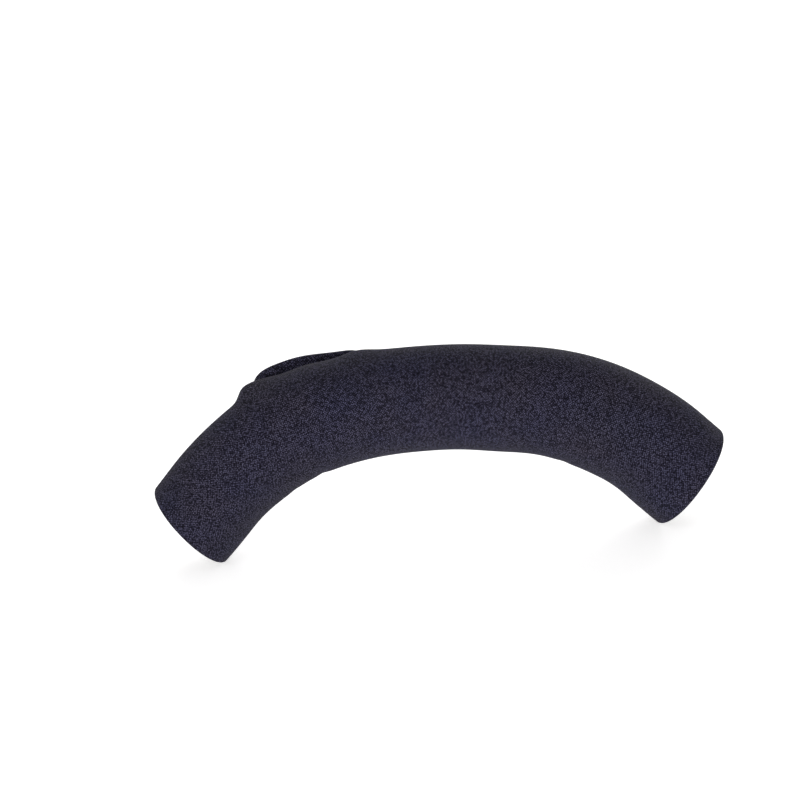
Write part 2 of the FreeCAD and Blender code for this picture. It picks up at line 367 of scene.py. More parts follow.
def knit_skin(name, plan, top, bottom, depth, lay, materials):
    """Knit over a pad, turned over its edge and hemmed underneath: a closed sheet of its own thickness."""
    rows, columns = top.shape
    ring = border(rows, columns)
    points, uvs, faces, last = [], [], [], []
    for shrink in (0.0, SKIN):
        high, low = top - shrink, bottom + shrink
        rings, edge, out, under = turn_over(plan, high, low, depth - shrink, range(1, TURN_STEPS + 1))
        hem_uv = rings[-1][2] + out * HEM
        rings.append((edge - out * HEM, under, hem_uv))
        first = sum(len(p) for p in points)
        faces += grid_faces(rows, columns, first)
        points.append(lay(plan, high).reshape(-1, 3))
        uvs.append(plan.reshape(-1, 2))
        before = [first + i for i in ring]
        for sheet, height, uv in rings:
            start = sum(len(p) for p in points)
            points.append(lay(sheet, height))
            uvs.append(uv)
            here = list(range(start, start + len(ring)))
            faces += strip(before, here)
            before = here
        last.append(before)
    faces += strip(*last)
    return close_up(name, np.concatenate(points), faces, np.concatenate(uvs), materials["knit_cover"])


def pad(name, plan, top, bottom, depth, lay, materials):
    """The foam inside a skin, with the same rounded edge."""
    rows, columns = top.shape
    ring = border(rows, columns)
    rings = turn_over(plan, top, bottom, depth, range(1, TURN_STEPS))[0]
    points, uvs = [lay(plan, top).reshape(-1, 3)], [plan.reshape(-1, 2)]
    faces = grid_faces(rows, columns)
    before = ring
    for sheet, height, uv in rings:
        start = sum(len(p) for p in points)
        points.append(lay(sheet, height))
        uvs.append(uv)
        here = list(range(start, start + len(ring)))
        faces += strip(before, here)
        before = here
    start = sum(len(p) for p in points)
    points.append(lay(plan, bottom).reshape(-1, 3))
    uvs.append(plan.reshape(-1, 2))
    faces += grid_faces(rows, columns, start) + strip(before, [start + i for i in ring])
    return close_up(name, np.concatenate(points), faces, np.concatenate(uvs), materials["neoprene_foam"])


def flat_sheet(name, plan, top, bottom, lay, materials, slot):
    """A closed sheet with square edges, between two heights."""
    rows, columns = top.shape
    count = rows * columns
    ring = border(rows, columns)
    faces = grid_faces(rows, columns) + grid_faces(rows, columns, count)
    faces += strip(ring, [count + i for i in ring])
    points = np.concatenate([lay(plan, top).reshape(-1, 3), lay(plan, bottom).reshape(-1, 3)])
    uv = np.concatenate([plan.reshape(-1, 2)] * 2)
    return close_up(name, points, faces, uv, materials[slot])


def laminate(names, plan, top, bottom, depth, lay, materials):
    """The knit, the foam and the lining of one pad."""
    skin_name, pad_name, lining_name = names
    skin = knit_skin(skin_name, plan, top, bottom, depth, lay, materials)
    under = bottom + 2 * SKIN + GAP
    foam = pad(pad_name, plan, top - SKIN - GAP, under + GAP, depth - SKIN - GAP, lay, materials)
    lining = flat_sheet(lining_name, plan, under, bottom + SKIN + GAP, lay, materials, "jersey_lining")
    return skin, foam, lining


# --- soft padding ---
def inflate(outer, inner, pins, cap):
    """How far each point of the outer grid is pushed out when the padding between the grids swells.

    pins is 1 where the outer grid is held."""
    rows, columns = outer.shape[:2]
    count = rows * columns
    ring = border(rows, columns)
    faces = grid_faces(rows, columns) + [f[::-1] for f in grid_faces(rows, columns, count)]
    faces += [f[::-1] for f in strip(ring, [count + i for i in ring])]
    points = np.concatenate([outer.reshape(-1, 3), inner.reshape(-1, 3)]) * CLOTH_SCALE
    ob = new_object("swelling", points, faces, bpy.data.materials.new("swelling"))
    turn_faces_outward(ob.data)
    group = ob.vertex_groups.new(name="held")
    held = np.concatenate([pins.ravel(), np.ones(count)])
    for index, weight in enumerate(held):
        group.add([index], float(weight), "REPLACE")
    cloth = ob.modifiers.new("Cloth", "CLOTH")
    cloth.settings.vertex_group_mass = "held"
    cloth.settings.use_pressure = True
    cloth.settings.uniform_pressure_force = CLOTH_PRESSURE
    cloth.settings.tension_stiffness = CLOTH_STRETCH
    cloth.settings.compression_stiffness = CLOTH_STRETCH
    cloth.settings.shear_stiffness = CLOTH_SHEAR
    cloth.settings.bending_stiffness = CLOTH_BENDING
    cloth.settings.effector_weights.gravity = 0.0
    scene = bpy.context.scene
    for frame in range(1, CLOTH_FRAMES + 1):
        scene.frame_set(frame)
    graph = bpy.context.evaluated_depsgraph_get()
    swollen = ob.evaluated_get(graph).to_mesh()
    co = np.zeros(len(swollen.vertices) * 3)
    swollen.vertices.foreach_get("co", co)
    moved = co.reshape(-1, 3)[:count].reshape(rows, columns, 3) / CLOTH_SCALE - outer
    across = outer - inner
    across /= np.linalg.norm(across, axis=-1, keepdims=True)
    push = (moved * across).sum(axis=-1)
    bpy.data.objects.remove(ob)
    scene.frame_set(1)
    return np.clip(push, -cap, cap)


def spread(field, rows, columns, new_rows, new_columns):
    """A field on one grid, read off on another."""
    half = np.stack([np.interp(new_columns, columns, line) for line in field])
    return np.stack([np.interp(new_rows, rows, line) for line in half.T]).T


# --- the sleeve ---
def end_skew(u):
    """How much each end is cut short on the outside of the bend, as a slope."""
    return np.where(u < 0, END_SKEW["left"], END_SKEW["right"])


def sleeve_turn(u):
    """How far the sleeve's rounded edge reaches in: the right end is rolled a little more than the left."""
    return mix(*END_TURN, smooth((u + 0.4) / 0.8))


def sleeve_plan(u, v):
    """Sheet coordinates of the sleeve: u from -1 to 1 between its ends, v from 0 to 1 round it."""
    u, v = np.meshgrid(u, v, indexing="ij")
    depth = sleeve_turn(u)
    around = mix(SHEET_LOW + depth, SHEET_HIGH - depth, v)
    gap = np.minimum(v, 1 - v) * (SHEET_HIGH - SHEET_LOW)
    angle = around / SLEEVE_RADIUS
    middle = BORE + SLEEVE_THICKNESS / 2
    flare = np.where(u < 0, END_FLARE["left"], END_FLARE["right"])
    reach = HALF_LENGTH + END_STRETCH + flare * np.sin(angle) ** 2
    half = reach - middle * np.sin(angle) * end_skew(u) - depth - rounded(gap, SHEET_CORNER - depth)
    return np.stack([u * half, around], axis=-1), depth


def lay_sleeve(sheet, height):
    """Points of the sleeve at a height above its bore. The cut ends slant with the height too."""
    along, angle = sheet[..., 0], sheet[..., 1] / SLEEVE_RADIUS
    slant = along / HALF_LENGTH * (height - SLEEVE_THICKNESS / 2) * np.sin(angle) * end_skew(along)
    return place(along - slant, np.degrees(angle), BORE + height)


def sleeve_swell(u, v):
    """The swelling of the sleeve's knit face, held down where the tapes and the tab roots are sewn."""
    plan = sleeve_plan(u, v)[0]
    along, turn = plan[..., 0], np.degrees(plan[..., 1] / SLEEVE_RADIUS)
    pins = np.zeros(along.shape)
    for middle, _ in TABS.values():
        close = np.abs(along - middle)
        pins[(close < LOOP_HALF_WIDTH + MM) & (turn > LOOP_ANGLES[0] - 3)] = 1.0
        pins[(close < LOOP_HALF_WIDTH) & (turn < ROOT_END_ANGLE - 360 + 3)] = 1.0
    full = np.full(along.shape, SLEEVE_THICKNESS)
    return inflate(lay_sleeve(plan, full), lay_sleeve(plan, full * 0), pins, SLEEVE_SWELL)


def puffs(along, angle):
    """Two soft swells of the padding on the outside of the bend, at either end of the left tab's tip."""
    s = along / MM
    swell = sum(height * np.exp(-(((s - where) / width) ** 2)) for where, width, height in PUFFS)
    return swell * np.exp(-(((angle - PUFF_ANGLE) / PUFF_SPREAD) ** 2)) * MM


def tuck(s, angle):
    """A fold of the knit along the left tab's left edge, in mm: steep on its left, long on its right."""
    ridge = TUCK_HEIGHT * smooth((s + 50) / 2.6) * (1 - smooth((s + 46.5) / 12))
    return ridge * np.exp(-(((angle - TUCK_ANGLE) / TUCK_SPREAD) ** 2))


def unevenness(along, angle):
    """Slow waves in the padding, the creases where the bend squeezes it, and a tuck by the left tab."""
    s = along / MM
    waves = 0.10 * np.sin(s / 7.3 + 1.0) * np.sin(2 * angle + s / 19) + 0.07 * np.sin(s / 4.1 + 3 * angle)
    inside = smooth(1 - np.abs(angle + math.pi / 2) / 1.3)
    creases = sum(depth * np.exp(-(((s - where) / CREASE_WIDTH) ** 2)) for where, depth in CREASES)
    return (waves - creases * inside + tuck(s, angle)) * MM + puffs(along, angle)


def sleeve(materials):
    """The cover, the foam and the lining of the sleeve."""
    width = SHEET_HIGH - SHEET_LOW
    u_wide, v_wide = np.linspace(-1, 1, SLEEVE_CLOTH[0]), np.linspace(0, 1, SLEEVE_CLOTH[1])
    swell = sleeve_swell(u_wide, v_wide)
    u = edge_lines(-HALF_LENGTH, HALF_LENGTH, 1.6 * MM) / HALF_LENGTH
    v = edge_lines(0.0, width, 1.6 * MM) / width
    plan, depth = sleeve_plan(u, v)
    swell = spread(swell, u_wide, v_wide, u, v)
    top = SLEEVE_THICKNESS + swell + unevenness(plan[..., 0], plan[..., 1] / SLEEVE_RADIUS)
    bottom = np.zeros(top.shape)
    names = ("knit_sleeve", "sleeve_padding", "sleeve_inside")
    for ob, node in zip(laminate(names, plan, top, bottom, depth, lay_sleeve, materials),
                        ("sleeve_cover", "sleeve_foam", "sleeve_lining")):
        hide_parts(node)
        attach(ob, "sleeve")


# --- tapes ---
def tape_plan(middle, half_width, turn_range, radius):
    """A rounded rectangle of tape in sheet coordinates at a radius."""
    low, high = (math.radians(a) * radius for a in turn_range)
    x = edge_lines(-half_width, half_width, 2 * MM)
    around = edge_lines(low, high, 2 * MM)
    shrink = rounded(np.minimum(around - low, high - around), TAPE_CORNER)
    along = middle + x[None, :] * ((half_width - shrink) / half_width)[:, None]
    return np.stack([along, np.broadcast_to(around[:, None], along.shape)], axis=-1)


def tape(name, plan, radius, low, high, slot, node, body, materials):
    """A flat strip of tape between two radii."""

    def lay(sheet, height):
        return place(sheet[..., 0], np.degrees(sheet[..., 1] / radius), height)

    shape = plan.shape[:2]
    ob = flat_sheet(name, plan, np.full(shape, high), np.full(shape, low), lay, materials, slot)
    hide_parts(node)
    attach(ob, body)


def tapes(side, middle, materials):
    """The loop tape on the sleeve, and the hook tape with its hooks under the tab."""
    low = SLEEVE_RADIUS + LOOP_TAPE_GAP
    plan = tape_plan(middle, LOOP_HALF_WIDTH, LOOP_ANGLES, SLEEVE_RADIUS)
    tape(f"{side}_loop_strip", plan, SLEEVE_RADIUS, low, low + LOOP_TAPE_THICKNESS, "loop_tape",
         f"{side}_loop_tape", "sleeve", materials)
    plan = tape_plan(middle, HOOK_HALF_WIDTH, HOOK_ANGLES, TAB_RADIUS)
    face = TAB_RADIUS - HOOK_TAPE_SHOWN
    tape(f"{side}_hook_strip", plan, TAB_RADIUS, face, TAB_RADIUS + SKIN, "hook_tape", f"{side}_hook_tape",
         f"{side}_tab", materials)
    hooks = hook_field(f"{side}_hooks", middle, face, materials["hook_tape"])
    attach(hooks, f"{side}_tab")


def hook_field(name, middle, radius, material):
    """Rows of small moulded hooks standing in from a hook tape."""
    reach = math.radians(HOOK_ANGLES[1] - HOOK_ANGLES[0]) * radius
    tubes = []
    row = 0
    v = HOOK_MARGIN
    while v < reach - HOOK_MARGIN:
        angle = HOOK_ANGLES[0] + math.degrees(v / radius)
        way = 1 if row % 2 else -1  # the rows lean to one side and the other in turn
        x = -HOOK_HALF_WIDTH + HOOK_MARGIN + (row % 2) * HOOK_PITCH_ALONG / 2
        while x < HOOK_HALF_WIDTH - HOOK_MARGIN:
            line = [place(middle + x + way * dx * MM, angle, radius - dh * MM) for dx, dh in HOOK_LINE]
            tubes.append((np.array(line), HOOK_RADIUS))
            x += HOOK_PITCH_ALONG
        v += HOOK_PITCH_AROUND
        row += 1
    return tube_object(name, tubes, 5, material)


# --- thread ---
def tube_object(name, tubes, sides, material):
    """Many round tubes along their own lines, as one mesh."""
    points, faces = [], []
    for line, radius in tubes:
        count = len(line)
        ahead = np.gradient(line, axis=0)
        ahead /= np.linalg.norm(ahead, axis=1, keepdims=True)
        guide = Vector((0.0, 1.0, 0.0)) if abs(ahead[0][1]) < 0.9 else Vector((1.0, 0.0, 0.0))
        first = len(points)
        for i in range(count):
            t = Vector(ahead[i])
            n = (guide - t * guide.dot(t)).normalized()
            b = t.cross(n)
            taper = THREAD_TAPER if i in (0, count - 1) else 1.0
            for k in range(sides):
                turn = 2 * math.pi * k / sides
                offset = (n * math.cos(turn) + b * math.sin(turn)) * radius * taper
                points.append(Vector(line[i]) + offset)
        for i in range(count - 1):
            for k in range(sides):
                a = first + i * sides + k
                c = first + i * sides + (k + 1) % sides
                faces.append((a, c, c + sides, a + sides))
        faces.append(tuple(first + k for k in range(sides))[::-1])
        faces.append(tuple(first + (count - 1) * sides + k for k in range(sides)))
    return new_object(name, points, faces, material)


def box_path(half_width, angles, radius):
    """Corners of a seam inset from the edge of a rectangle."""
    x = half_width - SEAM_INSET
    turn = math.degrees(SEAM_INSET / radius)
    low, high = angles[0] + turn, angles[1] - turn
    return [(-x, low), (x, low), (x, high), (-x, high), (-x, low)]


def seam(name, middle, corners, surface, material):
    """Stitches along a path of (distance from the tab's middle, angle) corners, on a surface of radii."""
    tubes = []
    for (x0, a0), (x1, a1) in zip(corners[:-1], corners[1:]):
        length = math.hypot(x1 - x0, math.radians(a1 - a0) * TAB_RADIUS)
        count = max(1, round(length / STITCH_PITCH))
        share = STITCH_LENGTH / STITCH_PITCH / 2
        for i in range(count):
            line = []
            for step in range(STITCH_STEPS + 1):
                t = (i + 0.5 + share * (2 * step / STITCH_STEPS - 1)) / count
                along, angle = middle + mix(x0, x1, t), mix(a0, a1, t)
                arch = math.sin(math.pi * step / STITCH_STEPS) ** 0.7
                lift = THREAD_RADIUS * (STITCH_ARCH * arch - STITCH_SINK)
                line.append(place(along, angle, surface(along, angle) + lift + STITCH_LIFT))
            tubes.append((np.array(line), THREAD_RADIUS))
    return tube_object(name, tubes, 8, material)


# --- tabs ---
def tab_plan(middle, tip_angles, x, v):
    """Sheet coordinates of a tab: x from -1 to 1 across it, v from 0 to 1 from its tip to its root."""
    tips = np.radians(tip_angles) * TAB_RADIUS
    root = math.radians(ROOT_END_ANGLE) * TAB_RADIUS
    reach = root - tips.mean()
    down = mix(TAB_TURN, reach - TAB_TURN, v)
    width = mix(TAB_TIP_HALF_WIDTH, TAB_ROOT_HALF_WIDTH, np.clip(down / (reach * 0.75), 0, 1)) - TAB_TURN
    width -= rounded(down - TAB_TURN, TAB_CORNER - TAB_TURN)
    width -= rounded(reach - TAB_TURN - down, ROOT_CORNER - TAB_TURN)
    across = x[None, :] * width[:, None]
    tip = mix(tips[0], tips[1], (across / TAB_TIP_HALF_WIDTH + 1) / 2)
    around = root - (root - tip) * (1 - down / reach)[:, None]
    return np.stack([middle + across, around], axis=-1)


def lay_tab(sheet, height):
    """Points of a closed tab at a height above the sleeve's knit face."""
    return place(sheet[..., 0], np.degrees(sheet[..., 1] / TAB_RADIUS), SLEEVE_RADIUS + height)


def box_distance(across, angle, half_width, turn):
    """Distance on the tab from a point to a seam that runs round a rectangle."""
    x = np.abs(across) - (half_width - SEAM_INSET)
    centre = (turn[0] + turn[1]) / 2
    tall = math.radians(turn[1] - turn[0]) / 2 * TAB_RADIUS - SEAM_INSET
    v = np.abs(np.radians(angle - centre)) * TAB_RADIUS - tall
    outside = np.hypot(np.maximum(x, 0), np.maximum(v, 0))
    return np.abs(outside + np.minimum(np.maximum(x, v), 0))


def seam_distance(middle, plan):
    """Distance on the tab to its nearest seam."""
    across, angle = plan[..., 0] - middle, np.degrees(plan[..., 1] / TAB_RADIUS)
    hook = box_distance(across, angle, HOOK_HALF_WIDTH, HOOK_ANGLES)
    root = box_distance(across, angle, TAB_ROOT_HALF_WIDTH, ROOT_SEAM_ANGLES)
    return np.minimum(hook, root)


def tab_swell(middle, tip_angles, x, v):
    """The swelling of a tab's face, held along its seams."""
    plan = tab_plan(middle, tip_angles, x, v)
    rise = tab_rise(np.degrees(plan[..., 1] / TAB_RADIUS))
    pins = (seam_distance(middle, plan) < SEAM_GROOVE_WIDTH).astype(float)
    return inflate(lay_tab(plan, rise + TAB_THICKNESS), lay_tab(plan, rise), pins, TAB_SWELL)


def tab_lift(side, middle, along, angle):
    """How far a tab stands up from its drawn place: over the sleeve's puffs, and at its soft free corners."""
    highest, lowest = TAB_CURL[side]
    across = (along - middle) / TAB_TIP_HALF_WIDTH
    first, last = TABS[side][1]
    from_tip = np.radians(angle - mix(first, last, (across + 1) / 2)) * TAB_RADIUS
    curl = smooth(1 - from_tip / CURL_REACH) * mix(highest, lowest, smooth((across + 1) / 1.4))
    return curl + puffs(along, np.radians(angle))


def tab(side, middle, tip_angles, materials):
    """The cover, the foam and the lining of one tab, from its tip, over its hinge, to its sewn root."""
    reach = math.radians(ROOT_END_ANGLE - sum(tip_angles) / 2) * TAB_RADIUS
    x_wide, v_wide = np.linspace(-1, 1, TAB_CLOTH[1]), np.linspace(0, 1, TAB_CLOTH[0])
    swell = tab_swell(middle, tip_angles, x_wide, v_wide)
    x = edge_lines(-TAB_ROOT_HALF_WIDTH, TAB_ROOT_HALF_WIDTH, 1.1 * MM) / TAB_ROOT_HALF_WIDTH
    v = edge_lines(0.0, reach, 1.1 * MM) / reach
    plan = tab_plan(middle, tip_angles, x, v)
    swell = spread(swell, v_wide, x_wide, v, x)
    angle = np.degrees(plan[..., 1] / TAB_RADIUS)
    drawn = tab_rise(angle) + tab_lift(side, middle, plan[..., 0], angle)
    groove = SEAM_GROOVE * np.exp(-((seam_distance(middle, plan) / SEAM_GROOVE_WIDTH) ** 2))
    top = drawn + TAB_THICKNESS + swell - groove
    past_tape = smooth((LOOP_ANGLES[0] - angle) / 10)
    resting = unevenness(plan[..., 0], np.radians(angle)) + SLEEVE_SWELL + GAP
    bottom = mix(drawn, np.clip(resting, drawn - TIP_DROP, drawn), past_tape)
    depth = np.full(top.shape, TAB_TURN)
    names = (f"{side}_tab_knit", f"{side}_tab_padding", f"{side}_tab_inside")
    start, end = bend_zone(middle)
    for ob, layer in zip(laminate(names, plan, top, bottom, depth, lay_tab, materials),
                         ("cover", "foam", "lining")):
        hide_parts(f"{side}_tab_{layer}", f"{side}_tab_root_{layer}")
        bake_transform(ob)
        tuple(start)
        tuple(end)


def bend_zone(middle):
    """Two points on a tab: at its hinge, and a little up the tab."""
    start = place(middle, HINGE_ANGLE, SLEEVE_RADIUS)
    ahead = place(middle, HINGE_ANGLE - 1.0, SLEEVE_RADIUS) - start
    ahead /= np.linalg.norm(ahead)
    return tuple(start), tuple(start + ahead * BEND_LENGTH)


def tab_seams(side, middle, materials):
    """The three seams that go with a tab."""
    thread = materials["thread"]

    def tab_face(along, angle):
        """Radius of the tab's knit face, less what the stitches sink into it."""
        near_root_edge = smooth((angle - ROOT_END_ANGLE) / 4 + 2.5)
        height = tab_rise(angle) + tab_lift(side, middle, along, angle) + TAB_THICKNESS
        return SLEEVE_RADIUS + height - mix(0.36, 0.50, near_root_edge) * MM

    def loop_face(along, angle):
        """Radius of the loop pile, where the stitches press it down."""
        return SLEEVE_RADIUS + LOOP_TAPE_THICKNESS

    hook_path = box_path(HOOK_HALF_WIDTH, HOOK_ANGLES, TAB_RADIUS)
    loop_path = box_path(LOOP_HALF_WIDTH, LOOP_ANGLES, SLEEVE_RADIUS)
    root_path = box_path(TAB_ROOT_HALF_WIDTH, ROOT_SEAM_ANGLES, TAB_RADIUS)
    root_path.append(root_path[2])  # the root's box is crossed by one diagonal
    hook = seam(f"{side}_hook_seam", middle, hook_path, tab_face, thread)
    loop = seam(f"{side}_loop_seam", middle, loop_path, loop_face, thread)
    root = seam(f"{side}_root_seam", middle, root_path, tab_face, thread)
    for ob, node, body in ((hook, "hook_stitching", f"{side}_tab"), (loop, "loop_stitching", "sleeve"),
                           (root, "root_stitching", "sleeve")):
        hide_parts(f"{side}_{node}")
        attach(ob, body)


# --- materials: pitches are in millimetres, and colours are linear ---
KNIT_PITCH = (0.68, 0.74)  # of the pebbles, along the sleeve and round it
# the knit's colour in the gaps between pebbles, darkened as painted shade, and on the pebble tops, the yarn's
# colour lightened as painted highlight
KNIT_GAP_SHADE_COLOUR = (0.0030, 0.0026, 0.0060)
KNIT_YARN_AND_HIGHLIGHT_COLOUR = (0.118, 0.113, 0.180)
PORE_PITCH = (1.25, 1.15)
RIB_PITCH = 0.45  # of the lining
COURSE_PITCH = 0.35


class Nodes:
    """A short way to write shader nodes."""

    def __init__(self, name):
        self.material = bpy.data.materials.new(name)
        self.material.use_nodes = True
        self.tree = self.material.node_tree
        self.shader = self.tree.nodes["Principled BSDF"]

    def link(self, value, socket):
        if hasattr(value, "is_output"):
            self.tree.links.new(value, socket)
        else:
            socket.default_value = value

    def math(self, operation, *values):
        node = self.tree.nodes.new("ShaderNodeMath")
        node.operation = operation
        for value, socket in zip(values, node.inputs):
            self.link(value, socket)
        return node.outputs[0]

    def uv(self):
        """The sheet's own coordinates in millimetres: along the sleeve and round it."""
        source = self.tree.nodes.new("ShaderNodeUVMap")
        source.uv_map = "sheet"
        split = self.tree.nodes.new("ShaderNodeSeparateXYZ")
        self.link(source.outputs[0], split.inputs[0])
        along = self.math("MULTIPLY", split.outputs[0], 1 / MM)
        around = self.math("MULTIPLY", split.outputs[1], 1 / MM)
        return along, around

    def vector(self, x, y):
        node = self.tree.nodes.new("ShaderNodeCombineXYZ")
        for value, socket in zip((x, y), node.inputs):
            self.link(value, socket)
        return node.outputs[0]

    def object_mm(self):
        """Object coordinates in millimetres."""
        source = self.tree.nodes.new("ShaderNodeTexCoord")
        node = self.tree.nodes.new("ShaderNodeVectorMath")
        node.operation = "SCALE"
        self.link(source.outputs["Object"], node.inputs[0])
        node.inputs["Scale"].default_value = 1 / MM
        return node.outputs[0]

    def noise(self, where, scale, detail=2.0, roughness=0.5):
        node = self.tree.nodes.new("ShaderNodeTexNoise")
        self.link(where, node.inputs["Vector"])
        node.inputs["Scale"].default_value = scale
        node.inputs["Detail"].default_value = detail
        node.inputs["Roughness"].default_value = roughness
        return node.outputs["Fac"]

    def cells(self, where, scale, randomness):
        """Distance from the middle of the nearest cell, and a random value for that cell."""
        node = self.tree.nodes.new("ShaderNodeTexVoronoi")
        self.link(where, node.inputs["Vector"])
        node.inputs["Scale"].default_value = scale
        node.inputs["Randomness"].default_value = randomness
        split = self.tree.nodes.new("ShaderNodeSeparateColor")
        self.link(node.outputs["Color"], split.inputs[0])
        return node.outputs["Distance"], split.outputs[0]

    def ramp(self, value, low, high):
        """The value from low to high, stretched to run from 0 to 1."""
        node = self.tree.nodes.new("ShaderNodeMapRange")
        self.link(value, node.inputs["Value"])
        node.inputs["From Min"].default_value = low
        node.inputs["From Max"].default_value = high
        return node.outputs["Result"]

    def blend(self, share, first, second):
        node = self.tree.nodes.new("ShaderNodeMix")
        node.data_type = "RGBA"
        self.link(share, node.inputs["Factor"])
        for value, socket in ((first, node.inputs[6]), (second, node.inputs[7])):
            self.link(value if hasattr(value, "is_output") else (*value, 1.0), socket)
        return node.outputs[2]

    def times(self, first, second):
        """One colour multiplied by another."""
        node = self.tree.nodes.new("ShaderNodeMix")
        node.data_type = "RGBA"
        node.blend_type = "MULTIPLY"
        node.inputs["Factor"].default_value = 1.0
        self.link(first, node.inputs[6])
        self.link(second, node.inputs[7])
        return node.outputs[2]

    def bump(self, height, distance):
        """A bump of a height from 0 to 1, with its true depth in metres."""
        node = self.tree.nodes.new("ShaderNodeBump")
        self.link(height, node.inputs["Height"])
        node.inputs["Distance"].default_value = distance
        self.link(node.outputs[0], self.shader.inputs["Normal"])

    def set(self, **values):
        names = {"colour": "Base Color", "roughness": "Roughness", "sheen": "Sheen Weight",
                 "sheen_roughness": "Sheen Roughness", "sheen_tint": "Sheen Tint",
                 "specular": "Specular IOR Level"}
        for key, value in values.items():
            socket = self.shader.inputs[names[key]]
            self.link((*value, 1.0) if isinstance(value, tuple) else value, socket)


def knit_cover():
    """Crepe knit: staggered pebbles of crinkled yarn in rows that run round the sleeve, with painted shade in
    the gaps between the pebbles and painted highlight on their tops.
    """
    n = Nodes("knit_cover")
    along, around = n.uv()
    sheet = n.vector(along, around)
    drift = n.math("MULTIPLY", n.math("SUBTRACT", n.noise(sheet, 0.3, 2.0), 0.5), 0.6)

    def lattice(pitch):
        """Coordinates whose unit cells are staggered in rows."""
        u = n.math("ADD", n.math("DIVIDE", along, pitch[0]), drift)
        v = n.math("DIVIDE", around, pitch[1])
        return n.vector(n.math("ADD", u, v), n.math("SUBTRACT", u, v))

    distance, spark = n.cells(lattice(KNIT_PITCH), 1.0, 0.45)
    crinkle = n.math("MULTIPLY", n.ramp(distance, 0.62, 0.05), n.math("MULTIPLY_ADD", spark, 0.15, 0.85))
    pore = n.ramp(n.cells(lattice(PORE_PITCH), 1.0, 0.6)[0], 0.45, 0.15)
    fuzz = n.ramp(n.noise(sheet, 4.0, 0.0), 0.25, 0.75)
    yarn = n.math("MULTIPLY", crinkle, n.math("MULTIPLY_ADD", fuzz, 0.8, 0.5))
    relief = n.math("MULTIPLY", yarn, n.math("MULTIPLY_ADD", pore, -0.08, 1.0))
    # the bump's relief also sets the colour: painted shade in the gaps and pores, painted highlight on the
    # pebble tops
    shade = n.math("POWER", n.ramp(relief, 0.0, 0.95), 1.4)
    colour = n.blend(shade, KNIT_GAP_SHADE_COLOUR, KNIT_YARN_AND_HIGHLIGHT_COLOUR)
    patches = n.noise(n.object_mm(), 0.055, 3.0, 0.6)
    tint = n.blend(n.ramp(patches, 0.3, 0.7), (0.90, 0.93, 1.06), (1.08, 1.02, 0.96))
    n.set(colour=n.times(colour, tint), roughness=0.9, specular=0.08, sheen=0.03, sheen_roughness=0.4,
          sheen_tint=(0.8, 0.78, 0.86))
    n.bump(relief, 0.2 * MM)
    return n.material


def neoprene_foam():
    """Closed-cell sponge: a matt black face with fine cut pores."""
    n = Nodes("neoprene_foam")
    pore = n.ramp(n.cells(n.object_mm(), 4.5, 1.0)[0], 0.1, 0.45)
    colour = n.blend(pore, (0.006, 0.006, 0.007), (0.022, 0.022, 0.024))
    n.set(colour=colour, roughness=0.8, specular=0.3)
    n.bump(n.math("MULTIPLY_ADD", n.noise(n.object_mm(), 3.0), 0.5, pore), 0.1 * MM)
    return n.material


def jersey_lining():
    """Smooth jersey: fine ribs along the sleeve, crossed by the courses of the knit."""
    n = Nodes("jersey_lining")
    along, around = n.uv()
    rib = n.math("ABSOLUTE", n.math("SINE", n.math("MULTIPLY", around, math.pi / RIB_PITCH)))
    course = n.math("ABSOLUTE", n.math("SINE", n.math("MULTIPLY", along, math.pi / COURSE_PITCH)))
    height = n.math("MULTIPLY", rib, n.math("MULTIPLY_ADD", course, 0.5, 0.5))
    colour = n.blend(height, (0.008, 0.008, 0.009), (0.035, 0.035, 0.039))
    n.set(colour=colour, roughness=0.75, specular=0.3, sheen=0.1)
    n.bump(height, 0.04 * MM)
    return n.material


def loop_pile():
    """Brushed loop pile: a felted mat of fine curls."""
    n = Nodes("loop_tape")
    curls = n.cells(n.object_mm(), 2.6, 1.0)[0]
    fuzz = n.noise(n.object_mm(), 7.0, 4.0, 0.75)
    height = n.math("MULTIPLY_ADD", fuzz, 0.6, n.ramp(curls, 0.5, 0.1))
    colour = n.blend(n.ramp(height, 0.2, 1.2), (0.006, 0.006, 0.008), (0.028, 0.028, 0.033))
    n.set(colour=colour, roughness=0.9, specular=0.15, sheen=0.15)
    n.bump(height, 0.25 * MM)
    return n.material


def hook_nylon():
    """Moulded nylon: black, slightly glossy, with a faint woven ground."""
    n = Nodes("hook_tape")
    grain = n.noise(n.object_mm(), 2.2, 3.0)
    colour = n.blend(grain, (0.010, 0.010, 0.011), (0.024, 0.024, 0.026))
    n.set(colour=colour, roughness=n.math("MULTIPLY_ADD", grain, 0.3, 0.25), specular=0.5)
    n.bump(grain, 0.05 * MM)
    return n.material


def sewing_thread():
    """Twisted polyester: a soft shine broken by the twist."""
    n = Nodes("thread")
    fibres = n.noise(n.object_mm(), 5.0, 3.0, 0.7)
    colour = n.blend(fibres, (0.014, 0.013, 0.018), (0.055, 0.053, 0.068))
    n.set(colour=colour, roughness=0.5, specular=0.45, sheen=0.2)
    n.bump(fibres, 0.08 * MM)
    return n.material


def floor_paint():
    """Matt studio paper with a barely visible tooth."""
    n = Nodes("floor")
    tooth = n.noise(n.object_mm(), 0.4, 3.0)
    n.set(colour=n.blend(tooth, (0.80, 0.80, 0.81), (0.84, 0.84, 0.85)), roughness=0.9, specular=0.0)
    n.shader.inputs["Emission Color"].default_value = (1.0, 0.99, 0.97, 1.0)
    n.shader.inputs["Emission Strength"].default_value = FLOOR_GLOW
    return n.material


def make_materials():
    """The materials by the names of their slots."""
    return {"knit_cover": knit_cover(), "neoprene_foam": neoprene_foam(), "jersey_lining": jersey_lining(),
            "loop_tape": loop_pile(), "hook_tape": hook_nylon(), "thread": sewing_thread()}


